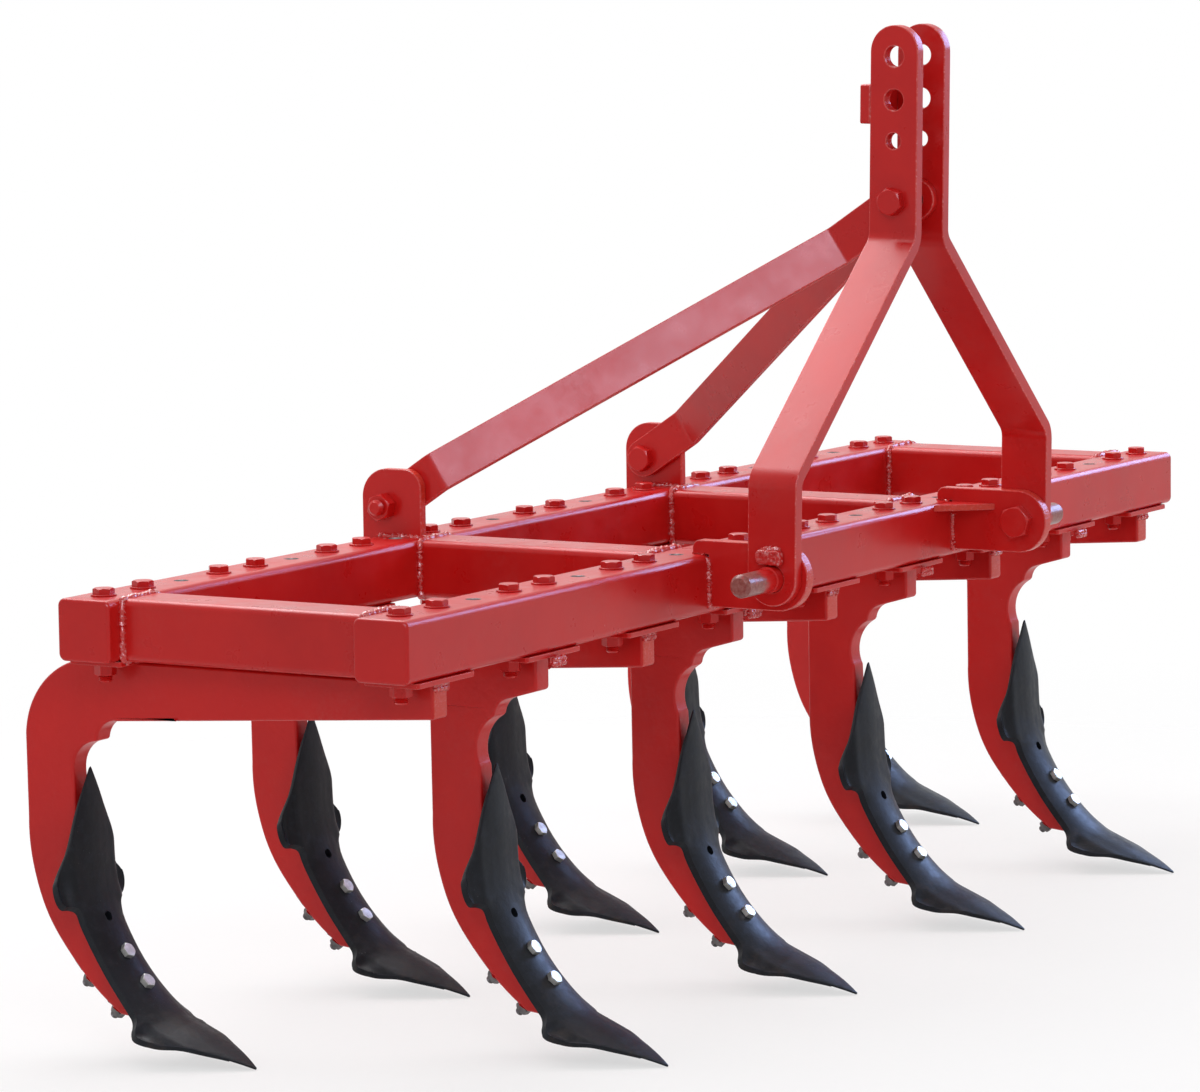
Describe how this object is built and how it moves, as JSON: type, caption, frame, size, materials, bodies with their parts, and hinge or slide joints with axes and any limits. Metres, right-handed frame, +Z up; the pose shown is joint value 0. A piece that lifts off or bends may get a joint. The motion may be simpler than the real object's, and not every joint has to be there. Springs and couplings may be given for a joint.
{
  "type": "field cultivator",
  "caption": "Rigid-tine field cultivator: a two-beam tool frame with forged curved tines, reversible shovels and an A-frame mast for a tractor's three-point hitch.",
  "frame": {"origin": "on the floor, midway between the beams' ends and midway between the foremost and rearmost points", "axes": "+Z up, -Y is the direction of travel, +X is the machine's left-hand side"},
  "size_m": [1.987, 0.7149, 1.1627],
  "materials": {
    "red_paint": "gloss",
    "black_forging": "satin",
    "zinc_bolt": "satin"
  },
  "bodies": {
    "root": {"brace_left": "red_paint", "brace_lug_left": "red_paint", "brace_lug_right": "red_paint", "brace_right": "red_paint", "end_cross_member_left": "red_paint", "end_cross_member_right": "red_paint", "front_beam": "red_paint", "front_clamp_bolts": "red_paint", "front_clamp_plates": "red_paint", "hitch_bracket_left": "red_paint", "hitch_bracket_right": "red_paint", "hitch_gusset_left": "red_paint", "hitch_gusset_right": "red_paint", "hitch_pin_left": "red_paint", "hitch_pin_right": "red_paint", "inner_cross_member_left": "red_paint", "inner_cross_member_right": "red_paint", "lug_bolt_left": "red_paint", "lug_bolt_right": "red_paint", "mast_bolt": "red_paint", "mast_plate_left": "red_paint", "mast_plate_right": "red_paint", "mast_tie_plate": "red_paint", "pin_stop_left": "red_paint", "pin_stop_right": "red_paint", "rear_beam": "red_paint", "rear_clamp_bolts": "red_paint", "rear_clamp_plates": "red_paint", "shovel_1": "black_forging", "shovel_2": "black_forging", "shovel_3": "black_forging", "shovel_4": "black_forging", "shovel_5": "black_forging", "shovel_6": "black_forging", "shovel_7": "black_forging", "shovel_8": "black_forging", "shovel_9": "black_forging", "shovel_bolts": "zinc_bolt", "tine_1": "red_paint", "tine_2": "red_paint", "tine_3": "red_paint", "tine_4": "red_paint", "tine_5": "red_paint", "tine_6": "red_paint", "tine_7": "red_paint", "tine_8": "red_paint", "tine_9": "red_paint"}
  },
  "joints": []
}
